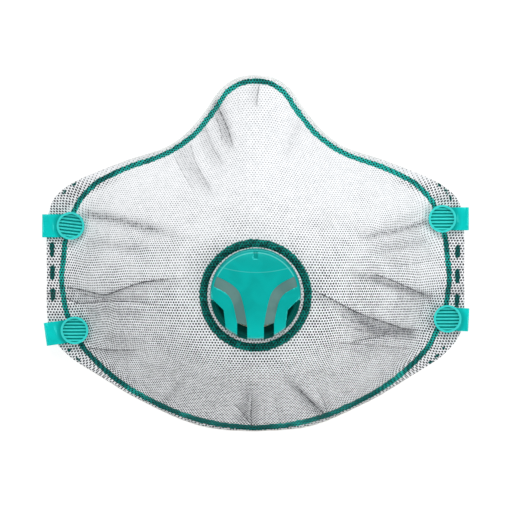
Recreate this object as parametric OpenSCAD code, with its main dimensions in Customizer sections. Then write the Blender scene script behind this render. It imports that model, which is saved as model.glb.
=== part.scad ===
// Cup-shaped dust mask with an exhalation valve, lying front side up on its headbands.
// +Z is the front of the mask, +Y is the nose, and z = 0 is the table under the headbands.

/* [Outline] */
// Width of the moulded cup over its flange
mask_w = 148.2; // [140:0.2:156]
// Height of the moulded cup from chin to nose
mask_h = 124.8; // [118:0.2:132]
// Height of the flange over the table at the cheeks
flange_z = 6.65; // [6.5:0.05:8]
// Rise of the flange towards the nose
nose_rise = 9; // [4:0.5:14]
// Rise of the flange towards the chin
chin_rise = 8; // [4:0.5:12]

/* [Cup] */
// Height of the outer net under the valve, over the table
front_z = 50; // [44:0.5:56]
// Distance of the valve below the middle of the mask
valve_drop = 14.9; // [13:0.1:17]
// Lean of the valve towards the nose, in degrees
valve_lean = 6; // [2:0.5:9]
// Width of the flat land outside the dark weld ring
land_w = 1.5; // [0.5:0.25:2.5]
// Fullness of the cheeks
cheek_bulge = 1.65; // [1.4:0.05:1.9]
// Fullness of the nose ridge
nose_bulge = 1.25; // [1.15:0.05:1.5]

/* [Layers] */
// Thickness of the white outer net
net_t = 0.4; // [0.3:0.05:0.6]
// Thickness of the dark nonwoven under the net
backing_t = 0.5; // [0.3:0.05:0.7]
// Thickness of the filter fleece
filter_t = 0.9; // [0.6:0.05:1.2]
// Thickness of the stiff moulded shell
shell_t = 1.0; // [0.8:0.05:1.3]
// Thickness of the inner lining
lining_t = 0.4; // [0.3:0.05:0.6]
// Air left between two layers
layer_gap = 0.03; // [0.02:0.01:0.05]
// Thickness of all layers where they are welded in the flange
flange_t = 1.3; // [1.1:0.05:1.5]

/* [Face seal] */
// Thickness of the soft seal lip
seal_t = 0.5; // [0.4:0.05:0.6]
// Reach of the lip inside the weld line
lip_w = 7.5; // [6:0.25:9]
// Droop of the lip at nose and chin
lip_droop = 2; // [0.5:0.25:2.5]
// How far the seal film stands out past the net at the nose
film_proud = 0.9; // [0.4:0.1:1.2]

/* [Nose piece] */
// Thickness of the bendable metal strip
clip_t = 0.6; // [0.4:0.05:0.8]
// Thickness of the nose foam
foam_t = 2.2; // [1.6:0.1:2.6]

/* [Valve] */
// Radius of the valve cap
cap_r = 15.8; // [15.4:0.1:16.2]
// Height of the cap over the net
cap_h = 9.4; // [8.4:0.1:10]
// Wall of the cap
cap_wall = 1.1; // [0.9:0.05:1.2]
// Crown of the cap from its edge to its middle
cap_crown = 1.2; // [0.8:0.1:1.4]
// Depth of the clip between the airway and the cap's rail
keeper_d = 2.2; // [1.8:0.1:2.8]
// Width of the valve's flange that lies on the net round its neck
lap_w = 1.9; // [1.6:0.1:2.3]
// Thickness of the rubber flap
flap_t = 0.5; // [0.4:0.05:0.6]
// Bare net between the cap and the dark weld ring
weld_gap = 1.05; // [0.8:0.05:1.5]
// Width of the dark weld ring
weld_w = 2.65; // [2:0.05:2.9]

/* [Buckles] */
// Radius of the ribbed button
button_r = 4.9; // [4.4:0.1:5.2]
// Number of ribs on a button
rib_count = 7; // [5:1:8]
// Width of the arm that folds round the flange
arm_w = 8.2; // [7.8:0.1:8.8]
// Thickness of the arm
arm_t = 0.9; // [0.8:0.05:1.1]
// Radius of the rivet
rivet_r = 1.5; // [1.2:0.1:1.8]
// Swivel of a buckle each way, in degrees
swivel = 6; // [3:0.5:8]

/* [Headbands] */
// Width of the elastic
strap_w = 6.5; // [5.5:0.1:7]
// Thickness of the elastic
strap_t = 0.8; // [0.6:0.05:0.9]
// Height of the slack ruck in the upper headband
upper_ruck = 12; // [8:0.5:16]
// Height of the slack ruck in the lower headband
lower_ruck = 11; // [8:0.5:16]

/* [Hidden] */

$fn = 64;
rest_gap = 0.05;   // air between parts that lie on each other
run_gap = 0.3;     // air between parts that move past each other
fit_gap = 0.05;    // running clearance of a pin in its bore

NET = "#ECEDEF";
DARK = "#54585C";
FLEECE = "#F4F4F0";
FELT = "#E2E0DA";
FILM = "#E9F0F0";
FOAM = "#6E7478";
METAL = "#C4C7CA";
TEAL = "#00AFA5";
DEEP = "#004B42";
GREY = "#587D78";
RUBBER = "#F2E6B8";
ELASTIC = "#F5F5F5";

// Right half of the outline from chin to nose: x and y of the flange edge, then x and y of
// the weld line where the wall of the cup begins. The left half mirrors it.
RIM = [[0, -62.8, 0, -61.9], [20.3, -60.8, 20, -59.8], [41, -52, 40.2, -50.7],
       [56.8, -42.7, 53.6, -38.8], [66.3, -36.6, 58.4, -32.4], [72.2, -29.6, 58.4, -26.8],
       [74, -21.5, 61, -20.6], [74.1, -7, 67, -7.5], [74.1, 6, 61.6, 4.4],
       [73.2, 15, 59.7, 10.4], [70, 21, 60, 16.6], [61.6, 26.4, 57.2, 21.8],
       [46, 32.3, 45, 30], [32.3, 36.5, 31.7, 35.1], [24.6, 41.2, 23.6, 40.2],
       [17.7, 48.9, 16.5, 48], [12, 57, 10.9, 56.1], [6.3, 61, 5.7, 59.8], [0, 62, 0, 60.6]];
RIM_W = 2 * max([for (p = RIM) p[0]]);     // width and height of these points as written
RIM_H = RIM[len(RIM) - 1][1] - RIM[0][1];
STEPS = 2;         // columns of the cup from one point of the outline to the next

kx = mask_w / RIM_W;
ky = mask_h / RIM_H;
half = [for (p = RIM) [p[0] * kx, p[1] * ky, p[2] * kx, p[3] * ky]];
last = len(half) - 1;
loop = concat(half, [for (i = [last - 1 : -1 : 1]) let (p = half[i]) [-p[0], p[1], -p[2], p[3]]]);
knots = len(loop);
COLUMNS = knots * STEPS;
NOSE = last * STEPS;                       // column at the top of the nose
V = [0, -valve_drop, front_z];             // centre of the valve on the outer net
neck_r = cap_r - lap_w;                    // neck that goes through the layers
weld_r = cap_r + weld_gap + weld_w;        // outer edge of the weld ring
land_r = weld_r + land_w;                  // outer edge of the flat land

// Catmull-Rom point between b and c at share t
function blend4(a, b, c, d, t) =
    0.5 * (2 * b + (c - a) * t + (2 * a - 5 * b + 4 * c - d) * t * t
           + (3 * b - a - 3 * c + d) * t * t * t);
function knot(i) = loop[(i + knots) % knots];
function rim_at(j) =
    let (c = (j + COLUMNS) % COLUMNS, k = floor(c / STEPS), t = (c - k * STEPS) / STEPS)
    blend4(knot(k - 1), knot(k), knot(k + 1), knot(k + 2), t);
function unit(v) = v / norm(v);
// Outward direction of the edge in plan at column j
function outward(j) =
    let (d = rim_at(j + 0.3) - rim_at(j - 0.3)) unit([d[1], -d[0]]);

// Height of the flange: level at the cheeks, rising to nose and chin
cheek_top = 14;
cheek_low = -33;
function ease(t) = t <= 0 ? 0 : pow(t, 1.5);
function rim_z(y) =
    flange_z + nose_rise * ease((y - cheek_top) / (mask_h / 2 - cheek_top))
             + chin_rise * ease((cheek_low - y) / (cheek_low + mask_h / 2));

// Height of the tilted flat land round the valve, carried on past its edge
function land_z(y) = front_z - (y - V[1]) * tan(valve_lean);

// Point of the outer surface in column j: v is 0 at the land's edge and 1 at the weld line
function edge_xy(j) = let (p = rim_at(j)) [p[0], p[1]];
function seam_xy(j) = let (p = rim_at(j)) [p[2], p[3]];
// The weld line with its coves beside the buckles smoothed away, which the cup's wall
// follows over most of its height
cove_span = 4;
function belly_xy(j) =
    let (s = [for (k = [-cove_span : cove_span]) seam_xy(j + k)]) [for (p = s) 1] * s / len(s);
function wall_xy(j, v) = let (c = pow(v, 4)) belly_xy(j) * (1 - c) + seam_xy(j) * c;
function land_xy(j, r) = let (c = [V[0], V[1]]) c + unit(belly_xy(j) - c) * r;
function bulge(j) =
    let (d = unit(seam_xy(j) - [V[0], V[1]]), up = max(0, d[1]))
    cheek_bulge + (nose_bulge - cheek_bulge) * pow(up, 4);
function cup(j, v) =
    let (p = land_xy(j, land_r) * (1 - v) + wall_xy(j, v) * v,
         w = v <= 0 ? 0 : pow(v, bulge(j)))
    [p[0], p[1], land_z(p[1]) * (1 - w) + rim_z(seam_xy(j)[1]) * w];
function land(j, r) = let (p = land_xy(j, r)) [p[0], p[1], land_z(p[1])];
function edge(j) = let (p = edge_xy(j)) [p[0], p[1], rim_z(p[1])];

// The rows of the cup from the valve hole to the flange edge, each a ring of points,
// and the share of its full thickness that the stack of layers keeps there
hole_r = neck_r + 0.2;
SHARES = [0, 0.2, 0.4, 0.6, 0.8, 0.93, 1];
weld = flange_t / (net_t + backing_t + filter_t + shell_t + lining_t);
columns = [for (j = [0 : COLUMNS - 1]) j];
outer = concat([[for (j = columns) land(j, hole_r)]],
               [for (v = SHARES) [for (j = columns) cup(j, v)]],
               [[for (j = columns) edge(j)]]);
squeeze = [1, 1, 1, 1, 1, 1, 0.8, weld, weld];
rows = len(outer);

function wrap(j) = (j + COLUMNS) % COLUMNS;
function facing(i, j) =
    let (a = outer[i][wrap(j + 1)] - outer[i][wrap(j - 1)],
         b = outer[min(i + 1, rows - 1)][j] - outer[max(i - 1, 0)][j])
    unit(cross(b, a));
normals = [for (i = [0 : rows - 1]) [for (j = columns)
    i <= 1 ? [0, sin(valve_lean), cos(valve_lean)]
    : i == rows - 1 ? [0, 0, 1] : facing(i, j)]];
function at_depth(d) =
    [for (i = [0 : rows - 1]) [for (j = columns)
        outer[i][j] - normals[i][j] * d * squeeze[i]]];

// Triangles over a grid of m rows and n columns, closed round its columns if ring is set.
// The bottom grid's points follow the top grid's.
function quad(a, b, c, d) = [[a, b, c], [a, c, d]];
function slab_faces(m, n, ring) =
    let (N = m * n, spans = ring ? n : n - 1, rim = m - 1)
    concat(
        [for (i = [0 : m - 2], j = [0 : spans - 1], f =
            quad(i * n + j, i * n + (j + 1) % n,
                 (i + 1) * n + (j + 1) % n, (i + 1) * n + j)) f],
        [for (i = [0 : m - 2], j = [0 : spans - 1], f =
            quad(N + i * n + j, N + (i + 1) * n + j,
                 N + (i + 1) * n + (j + 1) % n, N + i * n + (j + 1) % n)) f],
        [for (j = [0 : spans - 1], f =
            quad(j, N + j, N + (j + 1) % n, (j + 1) % n)) f],
        [for (j = [0 : spans - 1], f =
            quad(rim * n + j, rim * n + (j + 1) % n,
                 N + rim * n + (j + 1) % n, N + rim * n + j)) f],
        ring ? [] : [for (i = [0 : m - 2], f =
            quad(i * n, (i + 1) * n, N + (i + 1) * n, N + i * n)) f],
        ring ? [] : [for (i = [0 : m - 2], f =
            quad(i * n + n - 1, N + i * n + n - 1,
                 N + (i + 1) * n + n - 1, (i + 1) * n + n - 1)) f]);
module slab(top, bottom, ring = true)
    polyhedron([for (r = concat(top, bottom)) for (p = r) p],
               slab_faces(len(top), len(top[0]), ring), convexity = 6);

// A layer of the cup from depth a to depth b, punched for the four rivets
module layer(a, b)
    difference() {
        slab(at_depth(a), at_depth(b));
        rivet_holes();
    }
module rivet_holes()
    for (b = BUCKLES)
        translate([b[0], b[1], flange_z - 4]) cylinder(r = rivet_r + fit_gap, h = 6);

depth_backing = net_t;
depth_filter = depth_backing + backing_t;
depth_shell = depth_filter + filter_t;
depth_lining = depth_shell + shell_t;
stack_t = depth_lining + lining_t;

module outer_net() color(NET) layer(0, net_t - layer_gap);
module backing_layer() color(DARK) layer(depth_backing, depth_filter - layer_gap);
module filter_media() color(FLEECE) layer(depth_filter, depth_shell - layer_gap);
module support_shell() color(FELT) layer(depth_shell, depth_lining - layer_gap);
module inner_lining() color(FELT) layer(depth_lining, stack_t - layer_gap);

// Soft film welded under the flange, with a lip that turns in and down at nose and chin
seal_top = flange_t + rest_gap;
nose_end = 24;
chin_end = -40;
function at_nose(y) = min(1, ease((y - nose_end) / 15));
function away(y) = min(1, at_nose(y) + ease((chin_end - y) / 12));
LIP = [lip_w, lip_w / 2, 0];
function lip_point(j, into, drop) =
    let (s = seam_xy(j), p = s - outward(j) * into)
    [p[0], p[1], rim_z(s[1]) - seal_top - drop - lip_droop * away(s[1]) * pow(into / lip_w, 2)];
function film_point(j, drop) =
    let (e = edge_xy(j), p = e + outward(j) * film_proud * at_nose(e[1]))
    [p[0], p[1], rim_z(e[1]) - seal_top - drop];
function seal_rows(drop) =
    concat([for (w = LIP) [for (j = columns) lip_point(j, w, drop)]],
           [[for (j = columns) film_point(j, drop)]]);
module face_seal() color(FILM)
    difference() {
        slab(seal_rows(0), seal_rows(seal_t));
        rivet_holes();
    }

// Patches that follow the inside of the cup over the nose: columns from NOSE - n to NOSE + n
function inside(j, v, d) =
    let (h = 0.02, a = cup(j + 0.5, v) - cup(j - 0.5, v),
         b = cup(j, v + h) - cup(j, v - h))
    cup(j, v) - unit(cross(b, a)) * d;
module patch(n, shares, a, b)
    slab([for (v = shares) [for (j = [NOSE - n : NOSE + n]) inside(j, v, a)]],
         [for (v = shares) [for (j = [NOSE - n : NOSE + n]) inside(j, v, b)]], false);
clip_top = stack_t + rest_gap;
foam_gap = 0.15;     // glue between strip and foam
foam_top = clip_top + clip_t + foam_gap;
module nose_clip() color(METAL) patch(9, [0.78, 0.85], clip_top, clip_top + clip_t);
module nose_foam() color(FOAM) patch(10, [0.73, 0.82, 0.9], foam_top, foam_top + foam_t);

// Frame of the valve: origin on the net, +z along its leaning axis
module at_valve() translate(V) rotate([-valve_lean, 0, 0]) children();
module ring(r_in, r_out, z0, z1)
    translate([0, 0, z0]) difference() {
        cylinder(r = r_out, h = z1 - z0);
        translate([0, 0, -1]) cylinder(r = r_in, h = z1 - z0 + 2);
    }

// Dark bead where the net is welded down round the valve
weld_h = 0.45;
module valve_weld_ring() color(DEEP) at_valve()
    translate([0, 0, rest_gap]) rotate_extrude()
        polygon([for (a = [0 : 15 : 180])
            [weld_r - weld_w / 2 * (1 - cos(a)), weld_h * sin(a)]]);

// Outer half of the valve: flange on the net, neck through the layers, seat and spokes
plate_t = 1;
seat_h = 0.6;
seat_w = 1;
plate_top = rest_gap + plate_t;
seat_top = plate_top + seat_h;
clamp_t = 1.4;
clamp_z = -stack_t - rest_gap;
rail_r = cap_r - cap_wall - 0.15;   // rail that the cap snaps over
rail_t = 0.8;
rail_h = 1.4;
keeper_r = rail_r - rail_t - 0.15;   // outer end of the clip for the flap
keeper_y = keeper_r - keeper_d;
port_r = keeper_y - 0.2 - seat_w;    // airway through the seat
spoke_w = 1;
hub_r = 1.6;
module valve_base() color(TEAL) at_valve() {
    ring(port_r, cap_r, rest_gap, plate_top);
    ring(neck_r - 1, neck_r, clamp_z - clamp_t, rest_gap + plate_t / 2);
    ring(port_r, port_r + seat_w, plate_top - plate_t / 2, seat_top);
    ring(rail_r - rail_t, rail_r, plate_top - plate_t / 2, plate_top + rail_h);
    translate([0, 0, rest_gap]) cylinder(r = hub_r, h = plate_t);
    for (a = [45, 135])
        rotate(a) translate([-port_r - seat_w / 2, -spoke_w / 2, rest_gap])
            cube([2 * port_r + seat_w, spoke_w, plate_t]);
}

// Inner half of the valve: the ring that clamps the layers from inside
module valve_clamp_ring() color(TEAL) at_valve()
    ring(neck_r + fit_gap, weld_r - 0.1, clamp_z - clamp_t, clamp_z);

// Rubber flap that lifts off the seat about the bead along its upper edge
flap_gap = 0.15;
flap_z = seat_top + flap_gap + flap_t / 2;
hinge_y = port_r;
bead_r = 0.3;
bead_l = 9;
flap_r = port_r + seat_w + 0.4;
module valve_flap() color(RUBBER) at_valve() translate([0, 0, flap_z]) {
    intersection() {
        translate([0, 0, -flap_t / 2]) cylinder(r = flap_r, h = flap_t);
        translate([-flap_r, hinge_y - 3 * flap_r, -flap_t]) cube([2 * flap_r, 3 * flap_r, 2 * flap_t]);
    }
    translate([-bead_l / 2, hinge_y, 0]) rotate([0, 90, 0]) cylinder(r = bead_r, h = bead_l);
}

// Clip that keeps the flap's bead on the base
keeper_w = 10.4;
keeper_top = flap_z + bead_r + 0.7;
module flap_retainer() color(TEAL) at_valve() intersection() {
    union() {
        translate([-keeper_w / 2, keeper_y, plate_top + rest_gap])
            cube([keeper_w, keeper_d + 1, keeper_top - plate_top - rest_gap]);
        translate([-keeper_w / 2, hinge_y - 0.3, flap_z + bead_r + 0.15])
            cube([keeper_w, keeper_y - hinge_y + 1, keeper_top - flap_z - bead_r - 0.15]);
    }
    cylinder(r = keeper_r, h = 3 * cap_h, center = true);
}

// Cap: a crowned cover with two long curved channels and vents round its lower edge
cap_foot = plate_top + rest_gap;
edge_round = 1;
function crown(r, top, reach) = top - cap_crown * pow(r / reach, 2);
function cap_profile(in) =
    let (r = cap_r - in, top = cap_h - in, shoulder = r - edge_round,
         z = crown(shoulder, top, shoulder))
    concat([[0, cap_foot], [r, cap_foot]],
           [for (a = [0 : 15 : 90]) [shoulder + edge_round * cos(a), z - edge_round * (1 - sin(a))]],
           [for (k = [5 : -1 : 0]) let (q = shoulder * k / 6) [q, crown(q, top, shoulder)]]);
module dome(in) rotate_extrude() polygon(cap_profile(in));

// Smooth line through hand-set points
function smooth(p) =
    let (n = len(p) - 1)
    [for (i = [0 : n - 1], t = [0, 0.34, 0.67])
        blend4(p[max(i - 1, 0)], p[i], p[i + 1], p[min(i + 2, n)], t)];
channel_d = 0.6;
// Outlines on the left half of the cap, in shares of its radius
CHANNEL_UP = cap_r * [[-0.9873, 0.4304], [-0.5823, 0.2215], [-0.3797, 0.038],
                      [-0.2975, -0.1646], [-0.2342, -0.443], [-0.1835, -0.7342]];
CHANNEL_LOW = cap_r * [[-0.4051, -0.6709], [-0.4557, -0.4114], [-0.519, -0.1835], [-0.6582, 0],
                       [-1.0063, 0.1835]];
WINDOW = cap_r * [[-1.0759, -0.0759], [-0.9367, -0.1456], [-0.7025, -0.3797],
                  [-0.6582, -0.7595], [-0.6582, -1.0759], [-1.0759, -1.0759]];
VENT = cap_r * [[-0.1835, -0.7152], [-0.4051, -0.6646], [-0.4051, -1.0759], [-0.1835, -1.0759]];
module both() { children(); mirror([1, 0, 0]) children(); }
module channels(grow = 0)
    both() intersection() {
        polygon(concat(smooth(CHANNEL_UP), [CHANNEL_UP[5]], smooth(CHANNEL_LOW), [CHANNEL_LOW[4]]));
        circle(r = cap_r - edge_round - 0.1 - grow);
    }
module valve_cap() color(TEAL) at_valve() difference() {
    dome(0);
    difference() {
        dome(cap_wall);
        cube([4 * cap_r, 4 * cap_r, 2 * cap_foot - 0.02], center = true);
    }
    translate([0, 0, -1]) cylinder(r = cap_r - cap_wall, h = cap_foot + 2);
    difference() {
        translate([0, 0, cap_foot]) linear_extrude(cap_h) channels();
        dome(channel_d);
    }
    translate([0, 0, cap_foot - 1]) linear_extrude(cap_h + 2) both() polygon(WINDOW);
    translate([0, 0, cap_foot - 1]) linear_extrude(cap_h + 2) both() polygon(VENT);
    translate([-0.7, cap_r - 3.8, cap_h - cap_crown - 0.3]) cube([1.4, 2.4, 2]);
}

// Grey inlays lying in the two channels
inlay_t = 0.45;
module cap_stripes() color(GREY) at_valve() difference() {
    intersection() {
        translate([0, 0, cap_foot]) linear_extrude(cap_h) difference() {
            channels(0.1);
            both() polygon(VENT);
        }
        dome(channel_d - inlay_t);
    }
    dome(channel_d - 0.02);
}

// Buckles: place of the rivet, side (1 is right), distance from the rivet to the flange
// edge, turn of the whole buckle and turn of its ribs, in degrees
upper_y = [9.5, 12];
lower_y = [-27.6, -23.5];
upper_inset = [8.5, 7.8];
lower_inset = [9.9, 6.0];
BUCKLES = [
    [-mask_w / 2 + upper_inset[0], upper_y[0], -1, upper_inset[0], 0, 7],
    [mask_w / 2 - upper_inset[1], upper_y[1], 1, upper_inset[1], 0, 0],
    [-mask_w / 2 + lower_inset[0], lower_y[0], -1, lower_inset[0] - 1, -8, 8],
    [mask_w / 2 - lower_inset[1], lower_y[1], 1, lower_inset[1], -3, 3]];
module at_buckle(b)
    translate([b[0], b[1], flange_z]) mirror([b[2] < 0 ? 1 : 0, 0, 0]) rotate(b[4]) children();

// Levels of a buckle, from the top of the flange
under_flange = -flange_t - rest_gap - seal_t - rest_gap;   // under the seal film
rivet_head_t = 0.7;
tail_top = under_flange - rivet_head_t - run_gap;
tail_low = tail_top - strap_t;
back_top = tail_low - 0.1;
back_low = back_top - arm_t;
band_top = back_low - 0.1;
band_low = band_top - strap_t;
plate_low = run_gap;
button_floor = plate_low + 1.5;
button_top = button_floor + 1.3;
button_rim = 0.75;
bore_top = plate_low + 0.9;
slot_l = 1.6;
slot_clear = 0.35;
function web_in(b) = b[3] / cos(swivel) + arm_w / 2 * tan(swivel) + run_gap;
function slot_out(b) = web_in(b) - 0.6;

module arm(b) {
    w = web_in(b) + arm_t;
    round = 1.3;
    rotate([90, 0, 0]) translate([0, 0, -arm_w / 2]) linear_extrude(arm_w) {
        difference() {
            union() {
                translate([0, back_low + round]) square([w, button_floor - back_low - 2 * round]);
                translate([-button_r + 0.4, back_low]) square([w - round + button_r - 0.4, arm_t]);
                translate([0, button_floor - round]) square([w - round, round]);
                translate([0, back_low]) square([w - round, round]);
                for (z = [back_low + round, button_floor - round])
                    translate([w - round, z]) circle(r = round, $fn = 24);
            }
            translate([-1, back_top]) square([web_in(b) + 1, plate_low - back_top]);
            translate([web_in(b) - 1.2, button_floor + 5.6]) circle(r = 6, $fn = 48);
        }
    }
}
module ribs(b)
    intersection() {
        translate([0, 0, button_floor - 0.2]) cylinder(r = button_r - button_rim + 0.1, h = 3);
        rotate(b[5]) for (k = [0 : rib_count - 1])
            let (pitch = 2 * (button_r - button_rim) / rib_count)
            translate([-button_r, (k - (rib_count - 1) / 2) * pitch, button_floor])
                rotate([0, 90, 0]) cylinder(r = pitch * 0.36, h = 2 * button_r, $fn = 16);
    }
module buckle(b) color(TEAL) at_buckle(b) {
    difference() {
        union() {
            arm(b);
            translate([0, 0, plate_low]) cylinder(r = button_r, h = button_floor - plate_low);
        }
        translate([0, 0, plate_low - 1]) cylinder(r = rivet_r + fit_gap, h = bore_top - plate_low + 1);
        translate([slot_out(b) - slot_l, -strap_w / 2 - slot_clear, back_low - 1])
            cube([slot_l, strap_w + 2 * slot_clear, arm_t + 2]);
    }
    ring(button_r - button_rim, button_r, button_floor - 0.2, button_top);
    ribs(b);
}
module buckle_upper_left() buckle(BUCKLES[0]);
module buckle_upper_right() buckle(BUCKLES[1]);
module buckle_lower_left() buckle(BUCKLES[2]);
module buckle_lower_right() buckle(BUCKLES[3]);

// Rivets: a shaft up into the button and a flat head under the flange
rivet_top = bore_top - 0.1;
module buckle_rivets() color(TEAL)
    for (b = BUCKLES) translate([b[0], b[1], flange_z]) {
        translate([0, 0, under_flange]) cylinder(r = rivet_r, h = rivet_top - under_flange);
        translate([0, 0, under_flange - rivet_head_t]) cylinder(r = rivet_r + 1.1, h = rivet_head_t);
    }

// End of a headband: it comes under the back of the buckle, up through the slot and
// folds back over it as a short tail. Its inner end is round about the rivet.
join_r = 9;
join_gap = 0.35;
tail_l = 5.5;
module strap_end(b) color(ELASTIC) at_buckle(b) {
    out = slot_out(b) - 0.4;
    depth = tail_top - band_low + 2;
    intersection() {
        union() {
            translate([-join_r - 1, -strap_w / 2, band_low]) cube([join_r + 1 + out, strap_w, strap_t]);
            translate([out - strap_t, -strap_w / 2, band_low])
                cube([strap_t, strap_w, tail_top - band_low]);
            translate([-tail_l, -strap_w / 2, tail_low]) cube([tail_l + out, strap_w, strap_t]);
        }
        translate([0, 0, band_low - 1]) cylinder(r = max(join_r, out + strap_w), h = depth);
        union() {
            translate([0, 0, band_low - 1]) cylinder(r = join_r, h = depth);
            translate([0, -arm_w, band_low - 1]) cube([2 * join_r, 2 * arm_w, depth]);
        }
    }
}
module strap_end_upper_left() strap_end(BUCKLES[0]);
module strap_end_upper_right() strap_end(BUCKLES[1]);
module strap_end_lower_left() strap_end(BUCKLES[2]);
module strap_end_lower_right() strap_end(BUCKLES[3]);

// Headbands: flat elastic on the table between two buckles, with its slack in two rucks
function inner_end(b) =
    let (a = b[2] < 0 ? 180 - b[4] : b[4]) [b[0], b[1]] - join_r * [cos(a), sin(a)];
function ruck(s, mid, l, h) = abs(s - mid) < l / 2 ? h * (1 + cos(360 * (s - mid) / l)) / 2 : 0;
ruck_l = 44;
landing = 10;      // length in which the elastic comes down to the table
function lift(s, l) =
    let (t = max(0, 1 - min(s, l - s) / landing), u = min(1, t))
    (flange_z + band_low) * u * u * (3 - 2 * u);
module headband(a, b, h, shift) {
    p = inner_end(a);
    q = inner_end(b);
    l = norm(q - p);
    turn = atan2(q[1] - p[1], q[0] - p[0]);
    mids = [l / 2 - ruck_l / 2 - 2 + shift, l / 2 + ruck_l / 2 + 2 + shift];
    n = 80;
    line = [for (i = [0 : n]) let (s = l * i / n)
        [s, strap_t / 2 + lift(s, l) + ruck(s, mids[0], ruck_l, h) + ruck(s, mids[1], ruck_l, h * 0.8)]];
    side = [for (i = [0 : n])
        let (d = unit(line[min(i + 1, n)] - line[max(i - 1, 0)])) [-d[1], d[0]] * strap_t / 2];
    color(ELASTIC) difference() {
        translate([p[0], p[1], 0]) rotate(turn) rotate([90, 0, 0])
            translate([0, 0, -strap_w / 2]) linear_extrude(strap_w)
                polygon(concat([for (i = [0 : n]) line[i] + side[i]],
                               [for (i = [n : -1 : 0]) line[i] - side[i]]));
        for (c = [a, b]) translate([c[0], c[1], -1]) cylinder(r = join_r + join_gap, h = flange_z + 2);
    }
}
module headband_upper() headband(BUCKLES[0], BUCKLES[1], upper_ruck, -2);
module headband_lower() headband(BUCKLES[2], BUCKLES[3], lower_ruck, 3);

outer_net();
backing_layer();
filter_media();
support_shell();
inner_lining();
face_seal();
nose_foam();
nose_clip();
valve_weld_ring();
valve_base();
valve_clamp_ring();
valve_flap();
flap_retainer();
valve_cap();
cap_stripes();
buckle_upper_left();
buckle_upper_right();
buckle_lower_left();
buckle_lower_right();
buckle_rivets();
strap_end_upper_left();
strap_end_upper_right();
strap_end_lower_left();
strap_end_lower_right();
headband_upper();
headband_lower();
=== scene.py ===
# A moulded cup dust mask with a round exhalation valve, lying front side up on its own
# headbands. +z is the front of the mask, +y the nose, and z = 0 the table. Lengths are in
# metres, and lists that say so are in millimetres.
import math

import bmesh
import bpy
import numpy as np
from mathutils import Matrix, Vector
from mathutils.bvhtree import BVHTree


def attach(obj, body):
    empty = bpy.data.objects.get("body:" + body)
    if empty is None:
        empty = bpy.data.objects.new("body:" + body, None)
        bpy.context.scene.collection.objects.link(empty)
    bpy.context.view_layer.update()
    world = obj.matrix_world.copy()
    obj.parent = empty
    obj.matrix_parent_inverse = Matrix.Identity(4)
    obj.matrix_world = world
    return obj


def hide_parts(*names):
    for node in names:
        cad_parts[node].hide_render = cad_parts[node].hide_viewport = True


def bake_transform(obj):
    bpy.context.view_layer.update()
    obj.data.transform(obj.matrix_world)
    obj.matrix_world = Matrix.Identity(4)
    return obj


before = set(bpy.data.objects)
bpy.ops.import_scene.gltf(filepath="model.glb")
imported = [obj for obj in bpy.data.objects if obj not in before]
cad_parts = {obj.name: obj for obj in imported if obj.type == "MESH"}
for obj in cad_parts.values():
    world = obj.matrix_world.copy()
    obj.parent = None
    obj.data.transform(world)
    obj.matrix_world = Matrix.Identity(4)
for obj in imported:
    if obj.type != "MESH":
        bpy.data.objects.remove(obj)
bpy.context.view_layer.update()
scene = bpy.context.scene
MM = 0.001


# ---- Camera -------------------------------------------------------------------------
# A catalogue picture: the lens looks straight down on the mask from far off, so that the
# cup is hardly larger in front than the flange behind it.
flange_z = 6.65 * MM
eye_height = 2.4
picture_width = 179.3 * MM
picture_middle = (-1.07 * MM, 0.03 * MM)
sensor_width = 36

bpy.ops.object.camera_add(location=(*picture_middle, flange_z + eye_height))
camera = bpy.context.object
camera.data.sensor_width = sensor_width
camera.data.lens = sensor_width * eye_height / picture_width
scene.camera = camera


# ---- Table and light ----------------------------------------------------------------
# A glowing white light table under an even sky of light. The main softbox stands above the
# nose, which leaves the chin side of the cup in shade, and strips fill the cheeks.
table_size, table_drop = 6.0, 0.1 * MM
scene.view_settings.view_transform = "Standard"


def put(tree, kind, sockets=None, **settings):
    """A shader node, with values or other nodes' outputs for its sockets."""
    made = tree.nodes.new("ShaderNode" + kind)
    for key, value in settings.items():
        setattr(made, key, value)
    for key, value in (sockets or {}).items():
        if isinstance(value, bpy.types.NodeSocket):
            tree.links.new(value, made.inputs[key])
        else:
            made.inputs[key].default_value = value
    return made


def material(name, **shader):
    """A material with one Principled shader that holds its constant values."""
    made = bpy.data.materials.new(name)
    made.use_nodes = True
    bsdf = made.node_tree.nodes["Principled BSDF"]
    for key, value in shader.items():
        bsdf.inputs[key.replace("_", " ").title().replace("Ior", "IOR")].default_value = value
    return made, made.node_tree, bsdf


def object_place(tree):
    return put(tree, "TexCoord").outputs["Object"]


def noise(tree, place, scale, detail, distortion=0.0):
    """Soft patches, as a value round a half."""
    sockets = {"Vector": place, "Scale": scale, "Detail": detail, "Distortion": distortion}
    return put(tree, "TexNoise", sockets).outputs["Fac"]


bpy.ops.mesh.primitive_plane_add(size=table_size, location=(0, 0, -table_drop))
table = bpy.context.object
table.name = "table"
table_paint, tree, bsdf = material(
    "table_paint", roughness=0.9, specular_ior_level=0.1,
    emission_color=(1, 1, 1, 1), emission_strength=0.72,
)
cloud = noise(tree, object_place(tree), 3.0, 2.0)
paint = put(tree, "MapRange", {"Value": cloud, "To Min": 0.38, "To Max": 0.42})
tree.links.new(paint.outputs["Result"], bsdf.inputs["Base Color"])
table.data.materials.append(table_paint)

sky = bpy.data.worlds.new("sky")
sky.use_nodes = True
sky.node_tree.nodes["Background"].inputs["Color"].default_value = (1, 1, 1, 1)
sky.node_tree.nodes["Background"].inputs["Strength"].default_value = 0.48
scene.world = sky

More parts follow.
